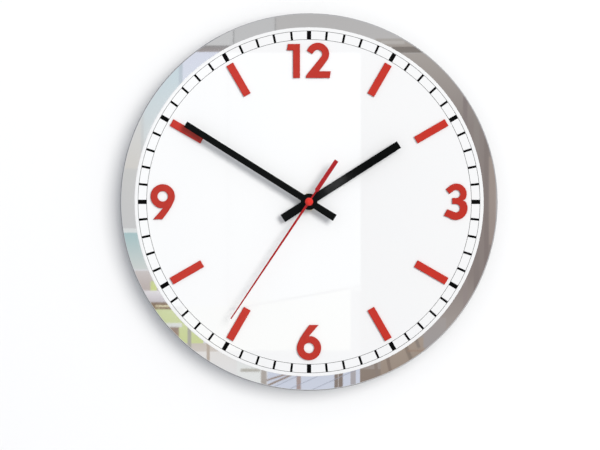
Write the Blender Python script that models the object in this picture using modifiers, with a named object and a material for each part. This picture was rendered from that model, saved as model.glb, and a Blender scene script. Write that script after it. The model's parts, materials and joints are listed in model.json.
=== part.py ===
"""Round wall clock: mirrored backplate, white dial, raised red hour marks and a quartz movement.

The clock hangs upright with +Z towards 12 o'clock and its front facing -Y. The wall is the plane
Y = 0, and the arbor of the hands runs along Y through X = Z = 0.

Every piece is modelled lying face up in its own dial frame: x to the right, y towards 12 o'clock
and z forwards out of the wall, which is called depth below. One empty stands that frame upright.
Lengths are named in millimetres and become metres when a mesh is made.
"""

import math

import bmesh
import bpy
from mathutils import Matrix

MM = 0.001
GAP = 0.3

# Dial side, radii and depths from the wall.
MIRROR_RADIUS = 150.0
DIAL_RADIUS = 138.6
HOLE_RADIUS = 4.4
GASKET = (16.3, 17.3)
MIRROR = (17.6, 20.6)
DIAL = (20.9, 23.4)
MARKS = (23.7, 24.7)
WASHER = (23.7, 24.3)
NUT = (24.6, 27.0)

# Hour marks: red bars at eight of the hours, figures at the other four.
BAR_WIDTH = 6.13
BAR_INNER = 97.8
BAR_OUTER = 125.9
BAR_HOURS = (1, 2, 4, 5, 7, 8, 10, 11)
FIGURE_HEIGHT = 27.0
FIGURE_STROKE = 5.5

# Hands: clockwise angle from 12 in degrees, reach in front of and behind the arbor, widths.
HOUR_HAND = {"angle": 57.5, "tip": 84.2, "tail": 24.6, "tip_width": 6.2, "tail_width": 6.8,
             "hub": 6.3, "hole": 2.85, "depth": (28.6, 29.5)}
MINUTE_HAND = {"angle": 302.15, "tip": 115.1, "tail": 24.0, "tip_width": 5.0, "tail_width": 5.7,
               "hub": 6.5, "hole": 1.9, "depth": (30.4, 31.3)}
SECOND_HAND = {"angle": 213.75, "tip": 110.8, "tail": 39.0, "tip_width": 1.0, "needle_width": 1.9,
               "neck_width": 1.3, "neck": 9.5, "shoulder": 11.0, "tail_width": 3.4,
               "hub": 2.9, "hole": 0.9, "depth": (33.9, 34.5)}
CAP_RADIUS = 3.15
CAP = (34.8, 36.6)
HAND_NUT = (31.6, 33.1)

# Movement housing.
CASE_HALF = 28.0
CASE_WALL = 1.4
CASE_CORNER = 3.0
COVER_FRONT = 1.5
CASE_BACK = COVER_FRONT + GAP
CASE_INNER_FRONT = 14.8
CASE_FRONT = 16.0
PARTITION = (-11.5, -10.3)
INNER_HALF = CASE_HALF - CASE_WALL

# Pipes and post on the centre axis.
ARBOR_RADIUS = 0.45
MINUTE_PIPE_RADII = (0.75, 1.6)
HOUR_PIPE_RADII = (1.9, 2.55)
POST_RADII = (2.9, 4.0)
POST_FLANGE = (13.3, 14.5)
POST_TIP = 28.1

# Gear train: a wheel with many teeth drives or is driven by the small pinion of its neighbour.
ADDENDUM = 0.85
DEDENDUM = 1.25
ROOT_SHARE = 0.27
TIP_SHARE = 0.10
CENTRE = (0.0, 0.0)
THIRD = (-7.99, 2.90)
MOTION = (7.27, 4.20)
SETTING = (15.155, 7.07)
INTERMEDIATE = (-1.52, 8.617)
ROTOR = (2.08, 14.852)
PIVOT_RADIUS = 0.5
PIVOT_HOLE = 0.8
PIVOT_BACK = 1.1
PIVOT_FRONT = 8.1
BRIDGE = (7.6, 8.3)

# Stepping motor.
MAGNET_RADIUS = 2.5
STATOR_BORE = 2.9
STATOR = (4.8, 5.6)
STATOR_REACH = 12.5
COIL_Y = 22.8
COIL_DEPTH = 6.3
WINDING_RADIUS = 2.9
FLANGE_RADIUS = 3.5

# Battery, an AA cell lying across the bottom of the movement.
CELL_Y = -19.05
CELL_DEPTH = 7.4
CELL_RADIUS = 7.1
CELL_BODY = (-23.9, 24.2)
CELL_NUB_RADIUS = 2.75
CELL_NUB_END = 25.6

BOARD_DEPTH = (12.4, 13.4)
STRIP = (9.0, 12.1)
STRIP_THICKNESS = 0.4

CIRCLE_STEPS = 48

BLACK_PLASTIC = ((0.025, 0.025, 0.028), 0.45, 0.0)
WHITE_PLASTIC = ((0.85, 0.84, 0.80), 0.40, 0.0)
RED_ACRYLIC = ((0.50, 0.035, 0.022), 0.25, 0.0)
BLACK_PAINT = ((0.012, 0.012, 0.013), 0.35, 0.0)
STEEL = ((0.60, 0.61, 0.62), 0.30, 1.0)
BRASS = ((0.75, 0.56, 0.24), 0.28, 1.0)


# ---------------------------------------------------------------- scene and helpers


def clear_scene():
    for obj in list(bpy.data.objects):
        bpy.data.objects.remove(obj, do_unlink=True)


def make_collection(name):
    collection = bpy.data.collections.new(name)
    bpy.context.scene.collection.children.link(collection)
    return collection


def make_empty(name, parent=None, at=(0.0, 0.0, 0.0), rotation=(0.0, 0.0, 0.0)):
    """An axis that pieces hang on, placed in its parent's dial frame."""
    empty = bpy.data.objects.new(name, None)
    empty.empty_display_size = 10 * MM
    empty.parent = parent
    empty.location = tuple(value * MM for value in at)
    empty.rotation_euler = rotation
    PARTS.objects.link(empty)
    return empty


def make_material(name, look):
    colour, roughness, metallic = look
    material = bpy.data.materials.new(name)
    material.use_nodes = True
    shader = material.node_tree.nodes["Principled BSDF"]
    shader.inputs["Base Color"].default_value = (*colour, 1.0)
    shader.inputs["Roughness"].default_value = roughness
    shader.inputs["Metallic"].default_value = metallic
    return material


def add_piece(name, mesh, parent, look, at=(0.0, 0.0, 0.0), turn=0.0):
    """Places a mesh in its parent's dial frame as a named piece with a material of its own.

    turn is clockwise in degrees as seen from the front.
    """
    piece = bpy.data.objects.new(name, mesh)
    mesh.materials.append(make_material(name, look))
    piece.parent = parent
    piece.location = tuple(value * MM for value in at)
    piece.rotation_euler = (0, 0, -math.radians(turn))
    PARTS.objects.link(piece)
    return piece


def combine(piece, mesh, operation):
    """Unites a piece with a mesh, or cuts the mesh out of it."""
    tool = bpy.data.objects.new(f"{piece.name}_{operation.lower()}_{len(piece.modifiers)}", mesh)
    tool.parent = piece.parent
    tool.location = piece.location
    tool.rotation_euler = piece.rotation_euler
    tool.display_type = "WIRE"
    tool.hide_render = True
    CUTTERS.objects.link(tool)
    boolean = piece.modifiers.new(operation.lower(), "BOOLEAN")
    boolean.operation = operation
    boolean.solver = "EXACT"
    boolean.object = tool


def unite(piece, mesh):
    combine(piece, mesh, "UNION")


def cut(piece, mesh):
    combine(piece, mesh, "DIFFERENCE")


# ---------------------------------------------------------------- outlines, in millimetres


def arc(centre, radius, start, end, steps):
    """Points on an arc from one angle to another, counter-clockwise when end is the larger."""
    points = []
    for index in range(steps + 1):
        angle = math.radians(start + (end - start) * index / steps)
        points.append((centre[0] + radius * math.cos(angle), centre[1] + radius * math.sin(angle)))
    return points


def circle(radius, centre=(0.0, 0.0), steps=CIRCLE_STEPS):
    return arc(centre, radius, 0, 360, steps)[:-1]


def bend(start, control, end, steps):
    """Inner points of a curve that leaves start towards control and arrives at end."""
    points = []
    for index in range(1, steps):
        t = index / steps
        weights = ((1 - t) ** 2, 2 * t * (1 - t), t ** 2)
        points.append(tuple(sum(weight * point[axis] for weight, point in
                                zip(weights, (start, control, end))) for axis in (0, 1)))
    return points


def rectangle(left, right, bottom, top):
    return [(left, bottom), (right, bottom), (right, top), (left, top)]


def rounded_rectangle(left, right, bottom, top, radius, steps=5):
    corners = ((right - radius, top - radius, 0), (left + radius, top - radius, 90),
               (left + radius, bottom + radius, 180), (right - radius, bottom + radius, 270))
    points = []
    for x, y, start in corners:
        points += arc((x, y), radius, start, start + 90, steps)
    return points


def gear_outline(teeth, module, phase):
    """Trapezoid teeth on their root circle, with one tooth's centre at the angle phase."""
    pitch_radius = teeth * module / 2
    root = pitch_radius - DEDENDUM * module
    tip = pitch_radius + ADDENDUM * module
    corners = ((root, -ROOT_SHARE), (tip, -TIP_SHARE), (tip, TIP_SHARE), (root, ROOT_SHARE))
    pitch = 2 * math.pi / teeth
    points = []
    for tooth in range(teeth):
        for radius, share in corners:
            angle = phase + (tooth + share) * pitch
            points.append((radius * math.cos(angle), radius * math.sin(angle)))
    return points


def mesh_phase(at, teeth, phase, next_at, next_teeth):
    """The phase that puts a gap of the next gear on a tooth of this one."""
    line = math.atan2(next_at[1] - at[1], next_at[0] - at[0])
    return line + math.pi - teeth / next_teeth * (phase - line) - math.pi / next_teeth


# ---------------------------------------------------------------- solids


def plate(outline, depth, holes=()):
    """A flat solid between two depths: a filled 2D curve made into a welded mesh."""
    low, high = depth
    curve = bpy.data.curves.new("outline", "CURVE")
    curve.dimensions = "2D"
    curve.fill_mode = "BOTH"
    curve.extrude = (high - low) / 2
    for ring in (outline, *holes):
        spline = curve.splines.new("POLY")
        spline.points.add(len(ring) - 1)
        spline.use_cyclic_u = True
        for point, (x, y) in zip(spline.points, ring):
            point.co = (x, y, 0, 1)
    source = bpy.data.objects.new("outline", curve)
    bpy.context.scene.collection.objects.link(source)
    bpy.context.view_layer.update()
    evaluated = source.evaluated_get(bpy.context.evaluated_depsgraph_get())
    shape = bmesh.new()
    shape.from_mesh(bpy.data.meshes.new_from_object(evaluated))
    bpy.data.objects.remove(source, do_unlink=True)
    bmesh.ops.remove_doubles(shape, verts=shape.verts, dist=0.001)
    bmesh.ops.recalc_face_normals(shape, faces=shape.faces)
    bmesh.ops.translate(shape, verts=shape.verts, vec=(0, 0, (low + high) / 2))
    return finish_mesh(shape)


def cylinders(places, radius, depth, steps=CIRCLE_STEPS):
    """One or more equal upright cylinders between two depths."""
    low, high = depth
    shape = bmesh.new()
    for x, y in places:
        bmesh.ops.create_cone(shape, cap_ends=True, segments=steps, radius1=radius, radius2=radius,
                              depth=high - low, matrix=Matrix.Translation((x, y, (low + high) / 2)))
    return finish_mesh(shape)


def blocks(boxes):
    """One or more boxes, each given as its two opposite corners."""
    shape = bmesh.new()
    for low, high in boxes:
        size = [b - a for a, b in zip(low, high)]
        middle = [(a + b) / 2 for a, b in zip(low, high)]
        place = Matrix.Translation(middle) @ Matrix.Diagonal((*size, 1))
        bmesh.ops.create_cube(shape, size=1.0, matrix=place)
    return finish_mesh(shape)


def finish_mesh(shape):
    """Makes a smooth-shaded mesh in metres from a shape in millimetres, keeping its corners sharp."""
    mesh = bpy.data.meshes.new("solid")
    shape.to_mesh(mesh)
    shape.free()
    mesh.transform(Matrix.Scale(MM, 4))
    mesh.shade_smooth()
    mesh.set_sharp_from_angle(angle=math.radians(30))
    return mesh


def profile_mesh(points, closed):
    mesh = bpy.data.meshes.new("profile")
    edges = [(index, index + 1) for index in range(len(points) - 1)]
    if closed:
        edges.append((len(points) - 1, 0))
    mesh.from_pydata([(radius * MM, 0, height * MM) for radius, height in points], edges, [])
    return mesh


def turn_profile(piece, steps):
    """Spins a piece's profile about its own z axis."""
    screw = piece.modifiers.new("turned", "SCREW")
    screw.axis = "Z"
    screw.steps = steps
    screw.render_steps = steps
    screw.use_merge_vertices = True
    screw.merge_threshold = 0.00001
    screw.use_smooth_shade = True


def tube(radii, depth, steps=CIRCLE_STEPS):
    inner, outer = radii
    return plate(circle(outer, steps=steps), depth, [circle(inner, steps=steps)])


# ---------------------------------------------------------------- dial, marks and hands


def build_dial(frame):
    mirror = plate(circle(MIRROR_RADIUS, steps=96), MIRROR, [circle(HOLE_RADIUS, steps=24)])
    add_piece("mirror_plate", mirror, frame, ((0.80, 0.82, 0.84), 0.03, 1.0))
    dial = plate(circle(DIAL_RADIUS, steps=96), DIAL, [circle(HOLE_RADIUS, steps=24)])
    add_piece("dial_disc", dial, frame, ((0.90, 0.90, 0.90), 0.12, 0.0))


def build_bars(frame):
    half = BAR_WIDTH / 2
    for hour in BAR_HOURS:
        mesh = blocks([((-half, BAR_INNER, MARKS[0]), (half, BAR_OUTER, MARKS[1]))])
        bar = add_piece(f"hour_bar_{hour:02d}", mesh, frame, RED_ACRYLIC, turn=hour * 30)
        edge = bar.modifiers.new("polished_edge", "BEVEL")
        edge.width = 0.15 * MM
        edge.segments = 1


def figure_one():
    half, stroke = FIGURE_HEIGHT / 2, FIGURE_STROKE / 2
    return [(-6.8, half), (-7.7, 8.5), (-stroke, 8.4), (-stroke, -half), (stroke, -half), (stroke, half)]


def figure_two():
    half = FIGURE_HEIGHT / 2
    bowl = (0.0, 5.5)
    outline = arc(bowl, 9.0, 163, -36, 18)
    outline += [(1.0, -8.1), (10.3, -8.1), (9.5, -half), (-9.4, -half), (-9.4, -11.6)]
    return outline + arc(bowl, 3.45, -28, 140, 12) + [(-4.5, 5.5)]


def figure_three():
    upper, lower = (0.4, 6.3), (0.0, -5.0)
    outline = [(-8.0, 9.9)] + arc(upper, 8.25, 128, -30, 14) + [(5.8, 1.1)]
    outline += arc(lower, 9.35, 33, -125, 16) + [(-9.6, -10.9), (-6.7, -5.8)]
    outline += arc(lower, 3.3, -125, 90, 12) + [(-2.9, -1.75), (-2.9, 3.1)]
    return outline + arc(upper, 3.15, -90, 125, 12) + [(-5.0, 6.3)]


def figure_six():
    """The outline of a 6 about the centre of its bowl."""
    bowl = (0.0, 0.0)
    shoulder = (-9.07, 3.3)
    tail = (0.33, 18.3)
    outline = arc(bowl, 9.65, 75, -200, 28)
    outline += bend(shoulder, (-6.9, 9.3), tail, 8)
    return outline + [tail, (7.6, 18.3), (-0.1, 9.4)]


def build_figures(frame):
    counter = circle(4.1, steps=24)
    six = figure_six()
    nine = [(-x, -y) for x, y in six]
    figures = (("numeral_1", figure_one(), (), (-9.9, 111.7)),
               ("numeral_2", figure_two(), (), (6.97, 111.7)),
               ("numeral_3", figure_three(), (), (116.4, 0.0)),
               ("numeral_6", six, [counter], (0.0, -115.9)),
               ("numeral_9", nine, [counter], (-116.0, 4.38)))
    for name, outline, holes, (x, y) in figures:
        add_piece(name, plate(outline, MARKS, holes), frame, RED_ACRYLIC, at=(x, y, 0))


def hand_outline(hand):
    """A straight tapering bar from tail to tip that swells to a round hub at the arbor."""
    tip_half, tail_half = hand["tip_width"] / 2, hand["tail_width"] / 2
    hub_half = min((tip_half + tail_half) / 2, hand["hub"] * 0.9)
    leave = math.degrees(math.asin(hub_half / hand["hub"]))
    outline = [(tip_half, hand["tip"]), (-tip_half, hand["tip"])]
    outline += arc(CENTRE, hand["hub"], 90 + leave, 270 - leave, 14)
    outline += [(-tail_half, -hand["tail"]), (tail_half, -hand["tail"])]
    return outline + arc(CENTRE, hand["hub"], 270 + leave, 450 - leave, 14)


def second_hand_outline(hand):
    """A fine tapering needle, a round hub and a narrow neck that widens to a flat tail."""
    tip_half, needle_half, neck_half, tail_half = (
        hand[key] / 2 for key in ("tip_width", "needle_width", "neck_width", "tail_width"))
    front = math.degrees(math.asin(needle_half / hand["hub"]))
    back = math.degrees(math.asin(neck_half / hand["hub"]))
    left = [(-neck_half, -hand["neck"]), (-tail_half, -hand["shoulder"]), (-tail_half, -hand["tail"])]
    right = [(-x, y) for x, y in reversed(left)]
    outline = [(tip_half, hand["tip"]), (-tip_half, hand["tip"])]
    outline += arc(CENTRE, hand["hub"], 90 + front, 270 - back, 14) + left + right
    return outline + arc(CENTRE, hand["hub"], 270 + back, 450 - front, 14)


def build_hand(name, hand, outline, axis, look):
    mesh = plate(outline, hand["depth"], [circle(hand["hole"], steps=24)])
    return add_piece(name, mesh, axis, look, turn=hand["angle"])


def build_hands(axes):
    build_hand("hour_hand", HOUR_HAND, hand_outline(HOUR_HAND), axes["hour"], BLACK_PAINT)
    build_hand("minute_hand", MINUTE_HAND, hand_outline(MINUTE_HAND), axes["minute"], BLACK_PAINT)
    second = build_hand("second_hand", SECOND_HAND, second_hand_outline(SECOND_HAND), axes["seconds"],
                        ((0.50, 0.03, 0.035), 0.35, 0.0))
    unite(second, tube((0.75, 1.3), (33.4, 34.2), 24))
    nut = plate(circle(2.9, steps=6), HAND_NUT, [circle(1.9, steps=24)])
    add_piece("hand_nut", nut, axes["minute"], BRASS)
    back, front = CAP
    dome = [(CAP_RADIUS * math.cos(angle), back + 0.6 + (front - back - 0.6) * math.sin(angle))
            for angle in (math.radians(90 - 90 * step / 5) for step in range(6))]
    profile = [(0.0, front)] + dome[1:] + [(CAP_RADIUS, back), (0.0, back)]
    cap = add_piece("second_hand_cap", profile_mesh(profile, False), axes["seconds"],
                    ((0.90, 0.03, 0.02), 0.25, 0.0))
    turn_profile(cap, 24)


# ---------------------------------------------------------------- movement housing


def build_case(frame):
    half, inner = CASE_HALF, INNER_HALF
    mesh = plate(rounded_rectangle(-half, half, -half, half, CASE_CORNER), (CASE_BACK, CASE_FRONT))
    case = add_piece("movement_case", mesh, frame, BLACK_PLASTIC)
    gear_bay = rounded_rectangle(-inner, inner, PARTITION[1], inner, 0.6, 3)
    battery_bay = rounded_rectangle(-inner, inner, -inner, PARTITION[0], 0.6, 3)
    cut(case, plate(gear_bay, (0.0, CASE_INNER_FRONT)))
    cut(case, plate(battery_bay, (0.0, CASE_INNER_FRONT)))
    cut(case, cylinders([CENTRE], POST_RADII[1] + GAP, (14.0, 17.0), 24))
    slot_low, slot_high = PARTITION[0] - 0.5, PARTITION[1] + 0.5
    slots = [((-inner, slot_low, 8.7), (-inner + 1.0, slot_high, 12.4)),
             ((inner - 1.0, slot_low, 8.7), (inner, slot_high, 12.4))]
    cut(case, blocks(slots))
    cut(case, cylinders([(0.0, -half - 2.0)], 9.0, (0.0, 9.0), 32))
    unite(case, cylinders([(-12.0, -5.5), (17.5, -5.5), (-12.0, 15.0), (17.5, 12.0)], 1.5,
                          (BRIDGE[1] + GAP, 15.4), 12))
    unite(case, cylinders([(-9.0, COIL_Y), (13.1, COIL_Y)], 1.2, (7.0, 15.4), 12))
    unite(case, cylinders([(19.0, 16.0), (23.5, 24.0)], 1.2, (BOARD_DEPTH[1] + GAP, 15.4), 12))
    unite(case, cylinders([MOTION, SETTING], 1.5, (12.6, 15.4), 16))
    cut(case, cylinders([MOTION, SETTING], PIVOT_HOLE, (12.0, 14.7), 16))
    rails = []
    for side in (-1, 1):
        upright = sorted((side * 9.0, side * 10.6))
        lip = sorted((side * 8.0, side * 10.6))
        rails.append(((upright[0], half - 0.5, 2.4), (upright[1], half + 2.0, 12.0)))
        rails.append(((lip[0], half + 1.2, 2.4), (lip[1], half + 2.0, 12.0)))
    for rail in rails:
        unite(case, blocks([rail]))


def build_cover(frame):
    outline = rounded_rectangle(-CASE_HALF, CASE_HALF, PARTITION[0], CASE_HALF, CASE_CORNER)
    cover = add_piece("rear_cover", plate(outline, (0.0, COVER_FRONT)), frame, BLACK_PLASTIC)
    bosses = [CENTRE, THIRD, INTERMEDIATE, ROTOR]
    unite(cover, cylinders(bosses, 1.6, (1.0, 2.2), 16))
    unite(cover, cylinders([SETTING], 7.5, (0.7, 4.4), 32))
    legs = [((side * 25.8 - 0.5, low, 1.0), (side * 25.8 + 0.5, low + 4.0, 5.0))
            for side in (-1, 1) for low in (-6.0, 18.0)]
    unite(cover, blocks(legs))
    cut(cover, cylinders(bosses, PIVOT_HOLE, (0.8, 2.6), 16))
    cut(cover, cylinders([SETTING], 6.5, (-1.0, 3.6), 32))
    cut(cover, cylinders([SETTING], 1.45, (3.0, 5.0), 16))


def build_hanger(frame):
    """A loop that slides into the rails on top of the case and hangs over a nail."""
    top = CASE_HALF
    outline = [(9.5, top + 2.3), (9.5, top + 5.0)] + arc((0.0, top + 9.0), 6.6, 10, 170, 12)
    outline += [(-9.5, top + 5.0), (-9.5, top + 2.3)]
    eye = [(4.6, top + 4.3)] + arc((0.0, top + 9.6), 2.6, 0, 180, 10) + [(-4.6, top + 4.3)]
    loop = add_piece("hanging_loop", plate(outline, (0.0, 2.4), [eye]), frame, BLACK_PLASTIC)
    unite(loop, blocks([((-7.7, top + 0.5, 2.0), (7.7, top + 3.2, 11.7))]))
    unite(loop, blocks([((-8.7, top + GAP, 2.7), (8.7, top + 0.9, 11.7))]))


def build_post(frame):
    post = add_piece("threaded_post", tube(POST_RADII, (POST_FLANGE[0] + 0.2, POST_TIP), 24), frame, BRASS)
    unite(post, tube((POST_RADII[0] + 0.3, 6.0), POST_FLANGE, 24))
    add_piece("rubber_gasket", tube((HOLE_RADIUS, 12.0), GASKET, 24), frame, ((0.02, 0.02, 0.02), 0.8, 0.0))
    add_piece("dial_washer", tube((HOLE_RADIUS, 6.4), WASHER, 24), frame, BRASS)
    nut = plate(circle(6.95, steps=6), NUT, [circle(POST_RADII[1] + GAP, steps=24)])
    add_piece("dial_nut", nut, frame, BRASS, turn=15)


# ---------------------------------------------------------------- gear train


def add_wheel(name, axis, gears, arbor):
    """A moulded wheel: its toothed stages, widest first, and the stepped arbor through them."""
    (outline, depth), *others = gears
    wheel = add_piece(name, plate(outline, depth), axis, WHITE_PLASTIC)
    for stage, stage_depth in others:
        unite(wheel, plate(stage, stage_depth))
    for radius, low, high in arbor:
        unite(wheel, cylinders([CENTRE], radius, (low, high), 12))


def build_train(axes):
    """The phases run from the rotor to the hour wheel, so that every pair is in mesh."""
    rotor = 0.0
    middle = mesh_phase(ROTOR, 12, rotor, INTERMEDIATE, 60)
    second = mesh_phase(INTERMEDIATE, 10, middle, CENTRE, 60)
    third = mesh_phase(CENTRE, 8, second, THIRD, 60)
    centre = mesh_phase(THIRD, 8, third, CENTRE, 64)
    motion = mesh_phase(CENTRE, 12, centre, MOTION, 36)
    hour = mesh_phase(MOTION, 10, motion, CENTRE, 40)
    setting = mesh_phase(MOTION, 36, motion, SETTING, 12)
    third_module = 17 / 72

    add_wheel("rotor_pinion", axes["rotor"], [(gear_outline(12, 0.2, rotor), (2.5, 3.6))],
              [(0.8, 3.3, 7.2), (PIVOT_RADIUS, PIVOT_BACK, PIVOT_FRONT)])
    magnet = tube((1.1, MAGNET_RADIUS), (4.2, 7.0), 24)
    add_piece("rotor_magnet", magnet, axes["rotor"], ((0.12, 0.12, 0.13), 0.4, 0.8))
    add_wheel("intermediate_wheel", axes["intermediate"],
              [(gear_outline(60, 0.2, middle), (2.6, 3.4)), (gear_outline(10, 0.25, middle), (3.0, 4.5))],
              [(PIVOT_RADIUS, PIVOT_BACK, PIVOT_FRONT)])
    add_wheel("seconds_wheel", axes["seconds"],
              [(gear_outline(60, 0.25, second), (3.7, 4.3)), (gear_outline(8, 0.25, second), (4.0, 5.8))],
              [(ARBOR_RADIUS, PIVOT_BACK, 34.5)])
    add_wheel("third_wheel", axes["third"],
              [(gear_outline(60, 0.25, third), (4.8, 5.6)),
               (gear_outline(8, third_module, third), (5.2, 7.4))],
              [(PIVOT_RADIUS, PIVOT_BACK, PIVOT_FRONT)])
    centre_gear = plate(gear_outline(64, third_module, centre), (6.6, 7.2),
                        [circle(MINUTE_PIPE_RADII[1] + GAP, steps=24)])
    add_piece("centre_wheel", centre_gear, axes["minute"], WHITE_PLASTIC)
    pipe = add_piece("minute_pipe", tube(MINUTE_PIPE_RADII, (6.3, 33.2), 24), axes["minute"], BRASS)
    unite(pipe, plate(gear_outline(12, 0.35, centre), (8.6, 10.0), [circle(1.2, steps=24)]))
    add_wheel("motion_wheel", axes["motion"],
              [(gear_outline(36, 0.35, motion), (8.8, 9.6)), (gear_outline(10, 0.336, motion), (9.2, 12.0))],
              [(PIVOT_RADIUS, 7.9, 14.3)])
    hour_wheel = add_piece("hour_wheel", tube(HOUR_PIPE_RADII, (10.3, 30.0), 24), axes["hour"], WHITE_PLASTIC)
    unite(hour_wheel, plate(gear_outline(40, 0.336, hour), (10.6, 11.6), [circle(2.2, steps=24)]))
    add_wheel("setting_pinion", axes["setting"], [(gear_outline(12, 0.35, setting), (8.6, 9.8))],
              [(1.1, 1.5, 9.0), (PIVOT_RADIUS, 8.0, 14.3)])


def build_knob(axes):
    """The time-setting thumb wheel, sunk in the cover, with a fluted rim and a blind socket."""
    flutes = 20
    rim = []
    for index in range(flutes * 4):
        angle = 2 * math.pi * index / (flutes * 4)
        radius = 5.9 + 0.2 * math.cos(flutes * angle)
        rim.append((radius * math.cos(angle), radius * math.sin(angle)))
    knob = add_piece("setting_knob", plate(rim, (0.4, 3.2)), axes["setting"], BLACK_PLASTIC)
    cut(knob, cylinders([CENTRE], 1.4, (1.2, 4.0), 16))
    cut(knob, cylinders([(0.0, 3.6)], 1.1, (-1.0, 1.0), 16))


def build_bridge(frame):
    outline = rounded_rectangle(-14.0, 20.5, -7.5, 17.8, 2.0)
    holes = [circle(PIVOT_HOLE, place, 16) for place in (THIRD, INTERMEDIATE, ROTOR, MOTION)]
    holes.append(circle(MINUTE_PIPE_RADII[1] + GAP, CENTRE, 24))
    holes.append(circle(1.4, SETTING, 16))
    add_piece("gear_bridge", plate(outline, BRIDGE, holes), frame, WHITE_PLASTIC)


# ---------------------------------------------------------------- stepping motor and electrics


def stator_outline(side):
    """One half of the stator: an arm up to the coil core and half of the rotor's bore."""
    x, y = ROTOR
    split = 0.3
    leave = math.degrees(math.asin(split / STATOR_BORE))
    bore = arc((0.0, y), STATOR_BORE, 90 - leave, -90 + leave, 12)
    half = [(STATOR_REACH, 11.1), (STATOR_REACH, COIL_Y + 1.5), (9.5, COIL_Y + 1.5), (9.5, 18.9),
            (split, 18.9), *bore, (split, 11.1)]
    return [(x + side * px, py) for px, py in half]


def build_motor(frame):
    look = ((0.42, 0.43, 0.45), 0.35, 1.0)
    add_piece("stator_left", plate(stator_outline(-1), STATOR), frame, look)
    add_piece("stator_right", plate(stator_outline(1), STATOR), frame, look)
    x = ROTOR[0]
    core = blocks([((x - STATOR_REACH, COIL_Y - 1.0, 5.9), (x + STATOR_REACH, COIL_Y + 1.0, 6.7))])
    add_piece("coil_core", core, frame, look)
    build_coil(frame)


def build_coil(frame):
    """Bobbin and winding, turned about the core and laid along x."""
    half = 9.2
    flange = 0.8
    spool = make_empty("coil_axis", frame, (ROTOR[0], COIL_Y, COIL_DEPTH), (0, math.pi / 2, 0))
    bobbin_mesh = blocks([((-1.1, -1.7, -half + 0.2), (1.1, 1.7, half - 0.2))])
    bobbin = add_piece("coil_bobbin", bobbin_mesh, spool, ((0.75, 0.72, 0.60), 0.5, 0.0))
    unite(bobbin, cylinders([CENTRE], FLANGE_RADIUS, (-half, -half + flange), 24))
    unite(bobbin, cylinders([CENTRE], FLANGE_RADIUS, (half - flange, half), 24))
    cut(bobbin, blocks([((-0.7, -1.3, -half - 1.0), (0.7, 1.3, half + 1.0))]))
    reach = half - flange - GAP
    winding = plate(circle(WINDING_RADIUS, steps=24), (-reach, reach), [rectangle(-1.4, 1.4, -2.0, 2.0)])
    add_piece("coil_winding", winding, spool, ((0.55, 0.20, 0.08), 0.4, 0.6))


def build_board(frame):
    low, high = BOARD_DEPTH
    board = plate(rounded_rectangle(16.2, 25.4, 14.0, 26.2, 0.6, 3), BOARD_DEPTH)
    add_piece("circuit_board", board, frame, ((0.05, 0.22, 0.09), 0.5, 0.0))
    chip = blocks([((20.6, 20.8, low - 1.3), (24.6, 24.8, low - GAP))])
    add_piece("timing_chip", chip, frame, ((0.02, 0.02, 0.02), 0.6, 0.0))
    crystal_axis = make_empty("crystal_axis", frame, (18.2, 18.0, low - GAP - 1.0), (-math.pi / 2, 0, 0))
    profile = [(0.0, 3.0), (0.8, 3.0), (1.0, 2.8), (1.0, -3.0), (0.0, -3.0)]
    crystal = add_piece("quartz_crystal", profile_mesh(profile, False), crystal_axis, STEEL)
    turn_profile(crystal, 12)


def ribbon(path, thickness):
    """The outline of a strip bent to a path of upright and level runs, thickened to its right."""
    outline = list(path)
    for index in range(len(path) - 1, -1, -1):
        x, y = path[index]
        before = path[max(index - 1, 0)]
        after = path[min(index + 1, len(path) - 1)]
        offset_x = offset_y = 0.0
        for start, end in ((before, path[index]), (path[index], after)):
            length = math.dist(start, end)
            if length > 0:
                normal = ((end[1] - start[1]) / length, (start[0] - end[0]) / length)
                offset_x = offset_x or thickness * normal[0]
                offset_y = offset_y or thickness * normal[1]
        outline.append((x + offset_x, y + offset_y))
    return outline


def build_contacts(frame):
    wall = INNER_HALF - GAP
    positive = plate(rectangle(wall - STRIP_THICKNESS, wall, -24.0, 18.0), STRIP)
    plus = add_piece("positive_contact", positive, frame, STEEL)
    unite(plus, blocks([((wall - STRIP_THICKNESS, -24.0, 3.0), (wall, -14.0, 9.5))]))
    unite(plus, blocks([((22.5, 16.0, 11.7), (wall - 0.2, 18.0, STRIP[1]))]))

    ledge = PARTITION[1] + GAP + STRIP_THICKNESS
    path = [(-wall, -24.0), (-wall, ledge), (21.6, ledge), (21.6, 16.5)]
    minus = add_piece("negative_contact", plate(ribbon(path, STRIP_THICKNESS), STRIP), frame, STEEL)
    unite(minus, blocks([((-wall, -24.0, 3.0), (-wall + STRIP_THICKNESS, -14.0, 9.5))]))
    spring = [(-wall + 0.2, -23.5)] + bend((-wall + 0.2, -23.5), (-22.4, CELL_Y), (-wall + 0.2, -14.6), 10)
    spring += [(-wall + 0.2, -14.6)]
    inner = [(x - 0.35, y) for x, y in reversed(spring[2:-2])]
    unite(minus, plate(spring + inner, (5.5, 9.3)))


def build_cell(axes):
    """The AA cell, turned about its own axis and laid along x with its button to the right."""
    lie = make_empty("cell_axis", axes["battery"], (0, CELL_Y, CELL_DEPTH), (0, math.pi / 2, 0))
    low, high = CELL_BODY
    profile = [(0.0, CELL_NUB_END), (CELL_NUB_RADIUS - 0.3, CELL_NUB_END),
               (CELL_NUB_RADIUS, CELL_NUB_END - 0.3), (CELL_NUB_RADIUS, high),
               (CELL_RADIUS - 0.6, high), (CELL_RADIUS, high - 0.6), (CELL_RADIUS, low + 0.6),
               (CELL_RADIUS - 0.6, low), (0.0, low)]
    cell = add_piece("aa_cell", profile_mesh(profile, False), lie, ((0.30, 0.31, 0.33), 0.35, 0.6))
    turn_profile(cell, 28)


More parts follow.
